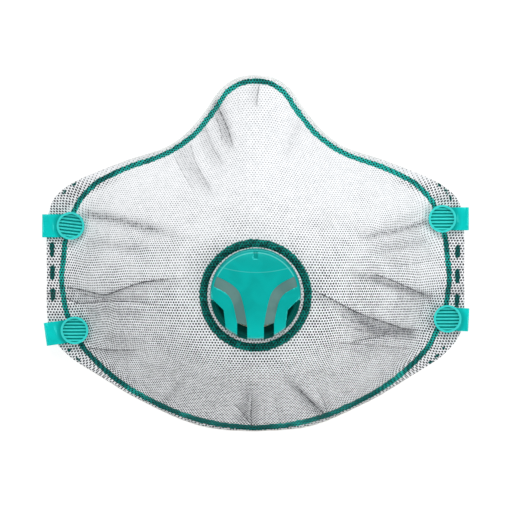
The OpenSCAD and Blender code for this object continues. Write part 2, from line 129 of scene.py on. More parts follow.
# Place, size and power of each softbox. All look at the middle of the mask.
softboxes = [
    ("nose_softbox", (0.0, 0.75, 0.85), (0.9, 0.5), 6.2),
    ("left_strip", (-0.85, 0.05, 0.55), (0.25, 0.9), 2.0),
    ("right_strip", (0.85, -0.1, 0.55), (0.25, 0.9), 3.3),
    ("chin_strip", (0.1, -0.9, 0.6), (0.8, 0.15), 2.0),
]
for name, spot, (width, height), power in softboxes:
    bpy.ops.object.light_add(type="AREA", location=spot)
    lamp = bpy.context.object
    lamp.name = name
    lamp.data.shape = "RECTANGLE"
    lamp.data.size = width
    lamp.data.size_y = height
    lamp.data.energy = power
    lamp.rotation_euler = (-Vector(spot)).to_track_quat("-Z", "Y").to_euler()


# ---- Outer net ----------------------------------------------------------------------
# The outermost layer is a white knitted net with rows of small holes, formed hot over the
# shell together with the layers under it and welded flat to them all round the flange. A
# teal line is printed along the weld, with short dashes outside it.

# Right half of the outline from chin to nose, in mm: x and y of the flange edge, then x
# and y of the weld line where the wall of the cup begins. The left half mirrors it.
outline = np.array([
    [0, -62.8, 0, -61.9], [20.3, -60.8, 20, -59.8], [41, -52, 40.2, -50.7],
    [56.8, -42.7, 53.6, -38.8], [66.3, -36.6, 58.4, -32.4], [72.2, -29.6, 58.4, -26.8],
    [74, -21.5, 61, -20.6], [74.1, -7, 67, -7.5], [74.1, 6, 61.6, 4.4],
    [73.2, 15, 59.7, 10.4], [70, 21, 60, 16.6], [61.6, 26.4, 57.2, 21.8],
    [46, 32.3, 45, 30], [32.3, 36.5, 31.7, 35.1], [24.6, 41.2, 23.6, 40.2],
    [17.7, 48.9, 16.5, 48], [12, 57, 10.9, 56.1], [6.3, 61, 5.7, 59.8], [0, 62, 0, 60.6],
]) * MM
loop = np.concatenate([outline, outline[-2:0:-1] * (-1, 1, -1, 1)])
nose_turn = len(outline) - 1

nose_rise, cheek_top = 9 * MM, 14 * MM
chin_rise, cheek_low = 8 * MM, -33 * MM
mask_half = 62.4 * MM
front_z = 50 * MM
valve_lean = math.radians(6)
valve_middle = np.array([0, -14.9 * MM])
cap_r, hole_r, land_r = 15.8 * MM, 14.1 * MM, 21 * MM
cheek_bulge, nose_bulge = 1.65, 1.25
belly_span = np.arange(-4, 5) / 2
stack_t, flange_t = 3.2 * MM, 1.3 * MM
fillet_rows, fillet_passes = 4, 14


def curved(a, b, c, d, t):
    """A smooth run from b to c, with their neighbours a and d, as t goes from 0 to 1."""
    bend = (c - a) * t + (2 * a - 5 * b + 4 * c - d) * t**2 + (3 * b - a - 3 * c + d) * t**3
    return b + bend / 2


def on_loop(turns):
    """Smooth points of the closed outline. One unit of turns is one point to the next."""
    knot = np.floor(turns).astype(int)
    near = [loop[(knot + k) % len(loop)] for k in (-1, 0, 1, 2)]
    return curved(*near, (turns - knot)[..., None])


def even_turns(count):
    """Turns of so many points, evenly spaced along the flange edge."""
    fine = np.linspace(0, len(loop), 40 * len(loop) + 1)
    edge = on_loop(fine)[:, :2]
    run = np.concatenate([[0], np.cumsum(np.hypot(*np.diff(edge, axis=0).T))])
    return np.interp(np.arange(count) * run[-1] / count, run, fine)


def rim_height(y):
    """The flange is level at the cheeks and rises to nose and chin."""
    up = np.clip((y - cheek_top) / (mask_half - cheek_top), 0, None)
    down = np.clip((cheek_low - y) / (cheek_low + mask_half), 0, None)
    return flange_z + nose_rise * up**1.5 + chin_rise * down**1.5


def flange_height(seam, edge, t):
    return rim_height(seam[:, 1]) * (1 - t) + rim_height(edge[:, 1]) * t


def land_height(y):
    """The flat land round the valve leans towards the nose."""
    return front_z - (y - valve_middle[1]) * math.tan(valve_lean)


def unit(v):
    return v / np.linalg.norm(v, axis=-1, keepdims=True)


def with_height(xy, z):
    return np.concatenate([xy, z[..., None]], axis=-1)


def wall_row(turns, v):
    """A row of the cup's wall, at a share v of the way from the land to the weld line."""
    seam = on_loop(turns)[..., 2:]
    belly = np.mean([on_loop(turns + k)[..., 2:] for k in belly_span], axis=0)
    facing = unit(seam - valve_middle)[..., 1].clip(0)
    bulge = cheek_bulge + (nose_bulge - cheek_bulge) * facing**4
    land = valve_middle + unit(belly - valve_middle) * land_r
    xy = land * (1 - v) + (belly * (1 - v**4) + seam * v**4) * v
    low = v**bulge
    z = land_height(xy[..., 1]) * (1 - low) + rim_height(seam[..., 1]) * low
    return with_height(xy, z)


def moulded_form(turns, land_rows, wall_rows, flange_rows):
    """Rows of points from the valve hole to the flange edge, their unit normals, and how
    much of its full thickness the stack of layers keeps in each row."""
    down_wall = np.linspace(0, 1, wall_rows)
    wall = [wall_row(turns, v) for v in down_wall]
    out = unit(wall[0][:, :2] - valve_middle)
    rows = []
    for r in np.linspace(hole_r, land_r, land_rows, endpoint=False):
        xy = valve_middle + out * r
        rows.append(with_height(xy, land_height(xy[:, 1])))
    rows += wall
    points = on_loop(turns)
    edge, seam = points[:, :2], points[:, 2:]
    for t in np.linspace(0, 1, flange_rows + 1)[1:]:
        rows.append(with_height(seam * (1 - t) + edge * t, flange_height(seam, edge, t)))
    shares = np.concatenate([np.zeros(land_rows), down_wall, np.ones(flange_rows)])
    grid = np.array(rows)
    # The mould has a fillet where the wall meets the flange.
    seam_row = land_rows + wall_rows - 1
    near = np.exp(-(((np.arange(len(grid)) - seam_row) / fillet_rows) ** 2))[1:-1, None, None]
    for _ in range(fillet_passes):
        grid[1:-1] += near * ((grid[:-2] + grid[2:]) / 2 - grid[1:-1])
    along = np.roll(grid, -1, axis=1) - np.roll(grid, 1, axis=1)
    outward = np.gradient(grid, axis=0)
    normals = unit(np.cross(outward, along))
    squeeze = np.interp(shares, [0.8, 0.93, 1], [1, 0.8, flange_t / stack_t])
    return grid, normals, squeeze[:, None, None]


def smooth_path(points, steps=6):
    """A line through points, curved from one to the next."""
    p = np.array([points[0], *points, points[-1]], float)
    t = np.linspace(0, 1, steps, endpoint=False)[:, None]
    spans = [curved(*near, t) for near in zip(p, p[1:], p[2:], p[3:])]
    return np.vstack([*spans, p[-1:]])


def along_path(xy, path):
    """Signed distance of each point from a line of points, positive on its left, and how
    far along the line its nearest place is, from 0 to 1."""
    path = np.asarray(path, float)
    steps = np.diff(path, axis=0)
    lengths = np.hypot(*steps.T)
    starts = np.concatenate([[0], np.cumsum(lengths)[:-1]])
    best, signed, share = np.full(len(xy), np.inf), np.zeros(len(xy)), np.zeros(len(xy))
    for a, step, length, start in zip(path, steps, lengths, starts):
        off = xy - a
        t = (off @ step / length**2).clip(0, 1)
        gap = off - t[:, None] * step
        far = np.hypot(*gap.T)
        side = np.sign(step[0] * off[:, 1] - step[1] * off[:, 0])
        nearer = far < best
        best[nearer] = far[nearer]
        signed[nearer] = (far * side)[nearer]
        share[nearer] = ((start + t * length) / lengths.sum())[nearer]
    return signed, share


def ease(t):
    t = np.clip(t, 0, 1)
    return t * t * (3 - 2 * t)


# Folds that packing has left in the cup: points along each, then its depth, its width and
# the step from one side to the other, all in mm, and how crisp its crease is, which sets
# how dark the shade painted along the crease is.
folds = [
    ([(-70, -11.6), (-61.4, -13.3), (-53.4, -14.9), (-48.1, -13.3), (-38.3, -10.2), (-20, -8.6)],
     0.6, 1.3, 0.5, 1.0),
    ([(-70, -14.6), (-63.2, -17.8), (-53.4, -17.2), (-43, -17.3), (-30, -18.6)],
     0.6, 1.3, -0.4, 0.85),
    ([(-62, -14.4), (-56, -15.9), (-50, -16.4)], 0.3, 1.0, 0.2, 0.7),
    ([(19, -12.6), (27, -16.5), (36.2, -21.3), (47.7, -25.3), (53.1, -27), (65, -28)],
     0.7, 1.5, 0.8, 1.0),
    ([(33, -31.5), (40.6, -30.1), (47.5, -28.6), (53.1, -27)], 0.45, 1.1, -0.45, 0.7),
    ([(34, -26.5), (42, -28.4), (51, -27.8)], 0.3, 1.0, 0.2, 0.5),
    ([(40, -7), (47.7, -9.7), (54.9, -12.8), (61.9, -15.4), (69, -14.6)], 0.5, 1.4, 0.45, 0.8),
    ([(50, -15.5), (58, -17), (66, -16.6)], 0.2, 1.2, 0.2, 0.3),
    ([(29, -21.5), (35, -24.4), (42, -25.2)], 0.2, 0.8, 0.15, 0.4),
    ([(31, -25.2), (38, -27.3), (46, -26.8)], 0.2, 0.8, 0.15, 0.45),
    ([(36, -29.5), (43, -29.6), (49, -27.8)], 0.2, 0.7, -0.15, 0.5),
    ([(30, -16), (41, -19), (54, -20.6)], 0.2, 1.2, 0.15, 0.2),
    ([(33, -2), (46, -5.2), (57, -7.8)], 0.25, 1.4, 0.15, 0.25),
    ([(30, 4), (43, 2.6), (56, -1.6)], 0.25, 1.6, 0.15, 0.2),
    ([(-30, -5), (-43, -5.6), (-58, -7.5)], 0.25, 1.5, 0.15, 0.2),
    ([(-57, -22), (-46, -21.8), (-34, -22.6)], 0.2, 1.2, 0.15, 0.2),
    ([(-61, -33.6), (-52, -34.5), (-38, -34.2)], 0.35, 1.0, 0.3, 0.75),
    ([(27, -31.4), (40, -32.4), (50, -33.6), (60, -34.6)], 0.3, 0.9, 0.25, 0.6),
    ([(-1.2, -62.4), (-1.6, -57), (-1, -48)], 0.8, 1.2, 0.35, 1.0),
    ([(-1, -61.8), (-4.2, -57), (-8.5, -52)], 0.4, 1.0, 0.25, 0.7),
    ([(25, -57.6), (20.2, -53.2), (13, -45.5)], 0.8, 1.2, -0.45, 1.0),
    ([(25.5, -57), (24, -52), (20.5, -46)], 0.35, 0.9, 0.25, 0.5),
    ([(9, -60.8), (7.4, -54), (7, -47)], 0.3, 1.1, 0.2, 0.3),
    ([(-14.2, 54.4), (-12.6, 50), (-9.6, 43), (-7.3, 35)], 0.6, 1.5, 0.5, 0.85),
    ([(-15.5, 51.5), (-12.5, 44), (-11.5, 37)], 0.35, 1.2, -0.3, 0.6),
    ([(-18.5, 46.5), (-15.5, 38), (-10, 29)], 0.3, 1.6, 0.3, 0.3),
    ([(-23.3, 39.4), (-20.8, 31), (-14.5, 20)], 0.4, 1.6, 0.4, 0.45),
    ([(-29.2, 35), (-25.5, 28), (-20.5, 20)], 0.3, 1.6, -0.3, 0.35),
    ([(-61, 13.6), (-51, 12), (-42, 9.8), (-34, 7.6), (-25, 5.8)], 1.0, 2.4, 0.9, 0.25),
    ([(-62, 8), (-52, 4.5), (-40, 1), (-30, -1)], 0.6, 2.6, 0.5, 0.2),
    ([(-63, 3), (-50, 1.2), (-36, -2)], 0.3, 2.0, 0.2, 0.2),
    ([(61, 12), (53, 8.8), (45, 6.8), (37, 6.2)], 0.9, 2.2, 0.8, 0.25),
    ([(62, 7), (52, 2.5), (40, -1.5)], 0.6, 2.4, 0.5, 0.25),
    ([(64, -2.5), (54, -4.2), (42, -4.6)], 0.35, 1.8, 0.2, 0.3),
    ([(1.5, 60.2), (0.6, 55), (0.4, 50)], 0.35, 1.0, 0.25, 0.6),
    ([(16.8, 46.5), (13, 38), (9, 29)], 0.3, 2.2, -0.25, 0.2),
    ([(29, 34.8), (24, 27), (18, 18)], 0.3, 2.4, 0.25, 0.2),
    ([(-33, -54.5), (-27, -47), (-20, -38)], 0.25, 1.8, 0.2, 0.2),
    ([(-17, -59.5), (-14, -52), (-10, -42)], 0.3, 1.6, -0.2, 0.25),
    ([(33, -54), (28, -47), (22, -40)], 0.3, 1.6, 0.2, 0.2),
    ([(-76, -14.6), (-66, -14)], 0.3, 0.8, 0.1, 0.9),
    ([(76, -14.9), (65, -14.4)], 0.3, 0.8, 0.1, 0.9),
]
# Soft valleys between the folds, with painted shade on the knit along them: points along
# each and its half width in mm, and how dark its painted shade is.
shade_valleys = [
    ([(-63, 14.2), (-51, 12), (-42, 9.8), (-34, 7.6), (-24, 5.4)], 2.1, 0.34),
    ([(-61, 4), (-48, 2.2), (-34, 0.6)], 1.6, 0.2),
    ([(-60, -21), (-48, -20.6), (-36, -22)], 2.0, 0.2),
    ([(-54, -29), (-46, -31), (-36, -30)], 2.4, 0.2),
    ([(-33, -54), (-29, -49), (-24, -43)], 1.2, 0.3),
    ([(-4, -61), (-3.8, -56), (-2.6, -49), (-1.5, -44)], 2.2, 0.42),
    ([(25, -57.5), (18.5, -51.5), (12, -45), (8, -41)], 1.3, 0.5),
    ([(63, 11.5), (54, 8.8), (46, 7), (39, 5.6), (33, 5)], 1.2, 0.42),
    ([(62, 4.5), (50, 2), (38, 0.4)], 1.6, 0.25),
    ([(64, -16), (50.4, -12.4), (41, -9.3), (29, -6.4)], 1.3, 0.42),
    ([(58, -28.2), (50, -28.2), (43, -26.8), (36, -23.2), (28, -18.6)], 2.0, 0.55),
    ([(-14, 55), (-12, 48), (-10, 41), (-8, 33)], 2.6, 0.2),
    ([(-19, 45), (-16, 37), (-10.5, 28)], 2.4, 0.13),
    ([(-27.5, 38), (-23.5, 31), (-17, 23), (-12, 17)], 2.0, 0.16),
    ([(16, 47), (13, 40), (10, 31)], 2.2, 0.1),
]
fold_room, crisp_from = 4.5, 0.3
ripple_seed, ripple_count, ripple_depth = 11, 26, 0.16 * MM
gather_count, gather_depth, gather_r, gather_fade = 64, 0.09 * MM, 32 * MM, 22 * MM
# The net stays flat on the land round the valve and under the four buttons.
land_keep, land_fade, button_keep, button_fade = 20.5 * MM, 9 * MM, 5.5 * MM, 4 * MM
rivets = {
    "upper_left": (-65.6, 9.5), "upper_right": (66.3, 12.0),
    "lower_left": (-64.2, -27.6), "lower_right": (68.1, -23.5),
}


def apart(folds):
    """The crisp folds in groups, each with no two folds that come near each other."""
    groups = []
    for fold in (f for f in folds if f[4] >= crisp_from):
        line = smooth_path(fold[0])
        for group in groups:
            gaps = [abs(along_path(line, smooth_path(other[0]))[0]).min() for other in group]
            if min(gaps) > fold_room:
                group.append(fold)
                break
        else:
            groups.append([fold])
    return groups


def fold_ends(share):
    """A fold begins over a tenth of its length and dies out over its last third."""
    return ease(share / 0.1) * ease((1 - share) / 0.35)


def relief(xy):
    """How far the folds and ripples move the cup out along its normal."""
    rise = np.zeros(len(xy))
    for path, depth, width, step, _ in folds:
        distance, share = along_path(xy / MM, smooth_path(path))
        near = distance / width
        rise += MM * np.exp(-(near**2)) * fold_ends(share) * (step * 1.6 * near - depth)
    random = np.random.default_rng(ripple_seed)
    for _ in range(ripple_count):
        heading, length = random.uniform(0, math.tau), random.uniform(6, 26) * MM
        wave = xy @ (math.cos(heading), math.sin(heading)) / length + random.uniform()
        rise += ripple_depth / math.sqrt(ripple_count) * np.sin(math.tau * wave)
    from_valve = np.hypot(*(xy - valve_middle).T)
    angle = np.arctan2(*(xy - valve_middle).T)
    gather = np.sin(gather_count * angle + 2.5 * np.sin(7 * angle))
    gather *= 0.6 + 0.4 * np.sin(5 * angle + 1)
    rise += gather_depth * gather * ease((from_valve - gather_r) / gather_fade)
    rise *= ease((from_valve - land_keep) / land_fade)
    for spot in rivets.values():
        from_rivet = np.hypot(*(xy - np.array(spot) * MM).T)
        rise *= ease((from_rivet - button_keep) / button_fade)
    return rise


def creases(xy, group):
    """Signed distance in mm to the nearest crease of a group, positive on its raised side,
    and how crisp that crease is there."""
    distances, crisps = [], []
    for path, _, _, step, crispness in group:
        distance, share = along_path(xy / MM, smooth_path(path))
        distances.append(math.copysign(1, step) * distance)
        crisps.append(crispness * fold_ends(share))
    pick = np.abs(distances).argmin(axis=0), np.arange(len(xy))
    noted = np.zeros((len(xy), 3))
    noted[:, 0], noted[:, 1] = np.array(distances)[pick], np.array(crisps)[pick]
    return noted


def painted_valley_shade(xy):
    """How dark the painted shade on the knit is in the valleys."""
    dark = np.zeros(len(xy))
    for path, width, darkness in shade_valleys:
        distance, share = along_path(xy / MM, smooth_path(path))
        dark = np.maximum(dark, darkness * np.exp(-((distance / width) ** 2)) * fold_ends(share))
    return dark


def close_grids(top, bottom, rings=True):
    """Vertices and faces of a closed solid between two grids, which run round in rings or
    are open patches."""
    rows, cols = top.shape[:2]
    under = rows * cols
    ids = np.arange(under).reshape(rows, cols)
    here, after = (ids, np.roll(ids, -1, axis=1)) if rings else (ids[:, :-1], ids[:, 1:])
    quads = [
        [here[:-1], here[1:], after[1:], after[:-1]],
        [under + grid for grid in (here[:-1], after[:-1], after[1:], here[1:])],
    ]
    if rings:
        quads.append([ids[0], after[0], under + after[0], under + ids[0]])
        quads.append([ids[-1], under + ids[-1], under + after[-1], after[-1]])
    else:
        border = np.concatenate([ids[0, :-1], ids[:-1, -1], ids[-1, :0:-1], ids[:0:-1, 0]])
        beyond = np.roll(border, -1)
        quads.append([border, beyond, under + beyond, under + border])
    faces = np.concatenate([np.stack(q, axis=-1).reshape(-1, 4) for q in quads])
    return np.concatenate([top.reshape(-1, 3), bottom.reshape(-1, 3)]), faces


def new_piece(name, vertices, faces, paint, sharp=math.radians(50)):
    """An object at the origin with smooth faces and sharp edges past an angle."""
    mesh = bpy.data.meshes.new(name)
    mesh.from_pydata(vertices.tolist(), [], faces.tolist())
    mesh.materials.append(paint)
    piece = bpy.data.objects.new(name, mesh)
    scene.collection.objects.link(piece)
    bpy.ops.object.select_all(action="DESELECT")
    bpy.context.view_layer.objects.active = piece
    piece.select_set(True)
    bpy.ops.object.shade_smooth_by_angle(angle=sharp)
    piece.select_set(False)
    return piece


def note(piece, name, values):
    """Stores a number, or a point, for each vertex of a piece."""
    kind, key = ("FLOAT", "value") if values.ndim == 1 else ("FLOAT_VECTOR", "vector")
    stored = piece.data.attributes.new(name, kind, "POINT")
    stored.data.foreach_set(key, values.astype(np.float32).ravel())


def cloth_places(points, faces):
    """Where each point lies in the flat cloth: its run from the valve along x and along y,
    measured on the formed surface."""
    tree = BVHTree.FromPolygons(points.tolist(), faces.tolist())
    pitch, ray_from, steepest = 1.0 * MM, 0.2, 2.5
    xs, ys = np.arange(-78, 79) * pitch, np.arange(-68, 69) * pitch
    height = np.full((len(ys), len(xs)), np.nan)
    for j, y in enumerate(ys):
        for i, x in enumerate(xs):
            hit = tree.ray_cast(Vector((x, y, ray_from)), Vector((0, 0, -1)))[0]
            if hit:
                height[j, i] = hit.z
    runs = []
    for axis, line, middle in ((1, xs, 0.0), (0, ys, valve_middle[1])):
        slope = np.nan_to_num(np.gradient(height, pitch, axis=axis)).clip(-steepest, steepest)
        step = np.sqrt(1 + slope**2) * pitch
        run = np.cumsum(step, axis=axis)
        zero = np.argmin(abs(line - middle))
        runs.append(run - np.take(run, [zero], axis=axis))
    column = np.interp(points[:, 0], xs, np.arange(len(xs)))
    row = np.interp(points[:, 1], ys, np.arange(len(ys)))
    i, j = column.astype(int).clip(0, len(xs) - 2), row.astype(int).clip(0, len(ys) - 2)
    u, v = column - i, row - j
    place = np.zeros((len(points), 3))
    for axis, run in enumerate(runs):
        lower = run[j, i] * (1 - u) + run[j, i + 1] * u
        upper = run[j + 1, i] * (1 - u) + run[j + 1, i + 1] * u
        place[:, axis] = lower * (1 - v) + upper * v
    return place


# The mask is covered by even columns, so that one row of points follows every fold.
column_count, land_rows, wall_rows, flange_rows = 420, 5, 82, 14
weld_rows, weld_hold = 6, 0.8
turns = even_turns(column_count)
form, form_normals, squeeze = moulded_form(turns, land_rows, wall_rows, flange_rows)
form_rise = relief(form[..., :2].reshape(-1, 2)).reshape(form.shape[:2])[..., None]
# The weld holds the folds nearly flat in the fillet at the foot of the wall.
from_weld = np.arange(len(form)) - (land_rows + wall_rows - 1)
form_rise *= 1 - weld_hold * np.exp(-((from_weld[:, None, None] / weld_rows) ** 2))


def at_depth(depth, every=1):
    """The moulded form at a depth under the outer surface of the net."""
    return (form + form_normals * (form_rise - depth * squeeze))[::every, ::every]


# Middle of the printed line, right half from chin to nose, in mm.
printed_half = [
    (0, -62), (13.1, -60.7), (26.4, -57.1), (40, -50.9), (48, -45.9), (54.5, -40.6),
    (60.7, -34.2), (63.7, -29.1), (67, -21.5), (68.1, -15.9), (68.8, -9), (68.2, -2.4),
    (67.4, 4.8), (65.5, 11.5), (62.7, 18.1), (57.5, 23.8), (53.2, 26.6), (44, 30.7),
    (35.2, 33.6), (27.7, 37.3), (20.9, 42.6), (14, 51.2), (10.1, 56.7), (5.2, 59.9), (0, 60.7),
]
printed_line = printed_half + [(-x, y) for x, y in printed_half[-2::-1]]
# Dashes outside the line, as the two ends of each, in mm: long ones down the sides and
# small ones round the corners.
side_dashes = [
    ((71.8, 2.1), (71.8, -1.4)), ((71.7, -6.6), (71.7, -10)), ((71.6, -15.2), (71.5, -18.6)),
    ((-72.2, 3), (-72.2, -0.8)), ((-72.1, -5.2), (-72.1, -8.8)), ((-72, -13.4), (-71.9, -16.4)),
]
corner_dashes = [
    ((65, 24.4), (65.5, 23.6)), ((67.3, 22.2), (67.8, 21.5)), ((68.9, 20), (69.3, 18.9)),
    ((-68.3, 20.9), (-67.6, 21.8)), ((-64.8, 24), (-64, 24.5)),
    ((66.6, -34.2), (67.2, -33.6)), ((64.1, -37), (64.9, -36.4)), ((61.8, -38.9), (62.5, -38.5)),
    ((-66, -34.8), (-66.6, -34.3)), ((-62.6, -38.2), (-63.4, -37.7)),
]

net_t = 0.4 * MM
layer_gap = 0.03 * MM
net_solid = close_grids(at_depth(0), at_depth(net_t - layer_gap))
net_paint, tree, bsdf = material(
    "knitted_net", roughness=0.75, specular_ior_level=0.15, sheen_weight=0.05
)


def new_group(name, values, results):
    """An empty node group that takes a place and values, and its sockets at both ends."""
    group = bpy.data.node_groups.new(name, "ShaderNodeTree")
    sockets = [("Place", "INPUT", "Vector"), *((value, "INPUT", "Float") for value in values)]
    sockets += [(result, "OUTPUT", "Float") for result in results]
    for socket, side, kind in sockets:
        group.interface.new_socket(socket, in_out=side, socket_type="NodeSocket" + kind)
    given, found = (group.nodes.new("NodeGroup" + side) for side in ("Input", "Output"))
    return group, given.outputs, found.inputs


def math_of(tree, operation, first, second=0.0):
    return put(tree, "Math", {0: first, 1: second}, operation=operation).outputs[0]


def times(tree, first, second):
    return math_of(tree, "MULTIPLY", first, second)


def plus(tree, first, second):
    return math_of(tree, "ADD", first, second)


def less(tree, first, second):
    return math_of(tree, "SUBTRACT", first, second)


def most(tree, first, second):
    return math_of(tree, "MAXIMUM", first, second)


def ramp(tree, value, low, high, first=0.0, second=1.0):
    """value taken smoothly from first at low to second at high."""
    ends = {"From Min": low, "From Max": high, "To Min": first, "To Max": second}
    made = put(tree, "MapRange", {"Value": value, **ends}, interpolation_type="SMOOTHSTEP")
    return made.outputs["Result"]


def scaled(tree, place, *scale):
    return put(tree, "Mapping", {"Vector": place, "Scale": scale}).outputs[0]


def knit_holes_group():
    """Staggered rows of round holes in a flat cloth, at a pitch along the row and a step
    from row to row."""
    sizes = ("Pitch", "Step", "Radius", "Softness")
    group, given, found = new_group("knit_holes", sizes, ("Hole",))
    xyz = put(group, "SeparateXYZ", {0: given["Place"]}).outputs
    row = math_of(group, "DIVIDE", xyz["Y"], given["Step"])
    odd = math_of(group, "FLOORED_MODULO", math_of(group, "FLOOR", row), 2.0)
    column = math_of(group, "DIVIDE", xyz["X"], given["Pitch"])
    column = plus(group, column, times(group, odd, 0.5))
    square = []
    for place, size in ((column, "Pitch"), (row, "Step")):
        off = times(group, less(group, math_of(group, "FRACT", place), 0.5), given[size])
        square.append(times(group, off, off))
    far = math_of(group, "SQRT", plus(group, *square))
    inner = less(group, given["Radius"], given["Softness"])
    outer = plus(group, given["Radius"], given["Softness"])
    group.links.new(ramp(group, far, inner, outer, 1.0, 0.0), found["Hole"])
    return group


def fibre_group():
    """Fine crossing fibres with softer clumps, as a value round a half."""
    group, given, found = new_group("fibres", ("Fineness", "Clumps"), ("Value",))
    along = scaled(group, given["Place"], 1.0, 0.22, 0.4)
    crossed = scaled(group, given["Place"], 0.25, 1.0, 0.4)
    one, two = (noise(group, way, given["Fineness"], 3.0) for way in (along, crossed))
    both = times(group, plus(group, one, two), 0.3)
    clump = times(group, noise(group, given["Place"], given["Clumps"], 2.0), 0.4)
    group.links.new(plus(group, both, clump), found["Value"])
    return group


knit_holes = knit_holes_group()
fibres = fibre_group()


def use(tree, group, **values):
    """A placed node group, with its named inputs set or linked."""
    sockets = {key.replace("_", " ").title(): value for key, value in values.items()}
    return put(tree, "Group", sockets, node_tree=group).outputs


def stored(tree, name, output="Fac"):
    return put(tree, "Attribute", attribute_name=name).outputs[output]


def blend_of(tree, share, *colours):
    """A colour between two, each a colour or another node's output."""
    first, second = (c if isinstance(c, bpy.types.NodeSocket) else (*c, 1) for c in colours)
    return put(tree, "Mix", {0: share, 6: first, 7: second}, data_type="RGBA").outputs[2]


def from_axis(tree, place, middle):
    """How far a point lies from an upright line through a middle."""
    steps = (("MULTIPLY", (1.0, 1.0, 0.0)), ("DISTANCE", (*middle, 0.0)))
    for operation, vector in steps:
        made = put(tree, "VectorMath", {0: place, 1: vector}, operation=operation)
        place = made.outputs[0]
    return made.outputs["Value"]


def finish(tree, bsdf, colour, height, depth, strength=1.0):
    """Gives a material its colour, and its fine relief from a height."""
    bump = put(tree, "Bump", {"Height": height, "Distance": depth, "Strength": strength})
    tree.links.new(colour, bsdf.inputs["Base Color"])
    tree.links.new(bump.outputs["Normal"], bsdf.inputs["Normal"])


hole_pitch, hole_step = 1.04, 0.94
net_white, net_grey = (0.88, 0.89, 0.91), (0.78, 0.80, 0.82)
# Greys of the painted shade in the valleys and of the painted shade along the creases.
valley_shade_grey, crease_shade_dark = (0.16, 0.165, 0.18), (0.05, 0.052, 0.06)
hole_dark, hole_teal = (0.030, 0.033, 0.038), (0.0, 0.018, 0.018)
print_teal, print_deep, print_dash = (0.012, 0.44, 0.38), (0.0, 0.15, 0.135), (0.0, 0.10, 0.092)
line_half, side_dash_half, corner_dash_half = 0.94 * MM, 0.86 * MM, 0.5 * MM
ink_blur, ring_blur, ring_r, ring_middle_r = 0.12 * MM, 0.15 * MM, 19.6 * MM, 18 * MM
shade_r, edge_wide, edge_plain = 16.8 * MM, 4.5 * MM, 8.5 * MM

place = object_place(tree)
height_y = put(tree, "SeparateXYZ", {0: place}).outputs["Y"]
patches, specks = noise(tree, place, 90.0, 2.0), noise(tree, place, 900.0, 1.0)
fuzz = use(tree, fibres, place=place, fineness=2600.0, clumps=500.0)["Value"]

# Ink of the line and dashes, with edges that follow the knit.
ragged = times(tree, less(tree, specks, 0.5), 0.9 * MM)
off_line = plus(tree, math_of(tree, "ABSOLUTE", stored(tree, "to_line")), ragged)
off_dash = plus(tree, stored(tree, "to_dash"), ragged)
on_line = ramp(tree, off_line, line_half - ink_blur, line_half + ink_blur, 1.0, 0.0)
on_dash = ramp(tree, off_dash, -ink_blur, ink_blur, 1.0, 0.0)
printed = most(tree, on_line, on_dash)
# Colour from the weld ring runs a little way out into the knit round it.
from_valve = from_axis(tree, place, valve_middle)
off_ring = plus(tree, from_valve, ragged)
spread = ramp(tree, off_ring, ring_r - ring_blur, ring_r + ring_blur, 1.0, 0.0)
beyond = ramp(tree, from_valve, ring_middle_r - 0.5 * MM, ring_middle_r + 0.5 * MM)
printed = most(tree, printed, times(tree, spread, beyond))

# The holes are wide in the flange and under the ink. They are painted wider and darker
# towards the chin, as painted shade on the side away from the light, and fainter towards
# the nose, where painted light washes them out; the painted shade in the valleys opens
# them, and painted light closes them under the cap's edge, against the cap's shade.
flange_share = ramp(tree, stored(tree, "from_edge"), edge_wide, edge_plain, 1.0, 0.0)
flange_share = times(tree, flange_share, ramp(tree, height_y, 20 * MM, 34 * MM, 1.0, 0.0))
openness_and_painted_shade = ramp(tree, height_y, -26 * MM, 36 * MM, 0.88, 0.4)
openness_and_painted_shade = times(tree, openness_and_painted_shade, ramp(tree, patches, 0.3, 0.7, 0.88, 1.1))
openness_and_painted_shade = most(tree, openness_and_painted_shade, most(tree, flange_share, printed))
# Painted shade in the valleys, a little uneven; it darkens the strands and makes the holes show
# more.
valley_shading = times(tree, stored(tree, "painted_valley_shade"), ramp(tree, specks, 0.3, 0.7, 0.75, 1.2))
openness_and_painted_shade = most(tree, openness_and_painted_shade, ramp(tree, valley_shading, 0.0, 0.6, 0.4, 1.0))
painted_light_by_cap = ramp(tree, from_valve, shade_r - 0.2 * MM, shade_r + 0.2 * MM, 0.8, 1.0)
openness_and_painted_shade = times(tree, openness_and_painted_shade, painted_light_by_cap)
radius = ramp(tree, openness_and_painted_shade, 0.2, 1.0, 0.17, 0.35)
radius = times(tree, radius, ramp(tree, specks, 0.3, 0.7, 0.86, 1.12))
holes = use(
    tree, knit_holes, place=stored(tree, "cloth", "Vector"),
    pitch=hole_pitch, step=hole_step, radius=radius, softness=0.07,
)["Hole"]

# Shade is painted along each crease: a dark line of painted shade, and a soft painted shade on
# its low side.
crease_groups = apart(folds)
crease_shade = 0.0
for k in range(len(crease_groups)):
    noted = put(tree, "SeparateXYZ", {0: stored(tree, f"crease_{k}", "Vector")}).outputs
    distance, crisp = noted["X"], noted["Y"]
    line = ramp(tree, math_of(tree, "ABSOLUTE", distance), 0.05, 0.42, 0.97, 0.0)
    line = times(tree, line, ramp(tree, specks, 0.3, 0.6, 0.5, 1.0))
    low_side_shade = ramp(tree, distance, -5.0, -0.2, 0.0, 0.24)
    low_side_shade = times(tree, low_side_shade, ramp(tree, distance, -0.2, 0.4, 1.0, 0.0))
    crease_shade = most(tree, times(tree, most(tree, line, low_side_shade), crisp), crease_shade)

strand = blend_of(tree, ramp(tree, fuzz, 0.35, 0.65), net_grey, net_white)
paler = plus(tree, patches, ramp(tree, height_y, -50 * MM, 30 * MM, -0.1, 0.1))
ink = blend_of(tree, ramp(tree, paler, 0.4, 0.6), print_deep, print_teal)
ink = blend_of(tree, on_dash, ink, print_dash)
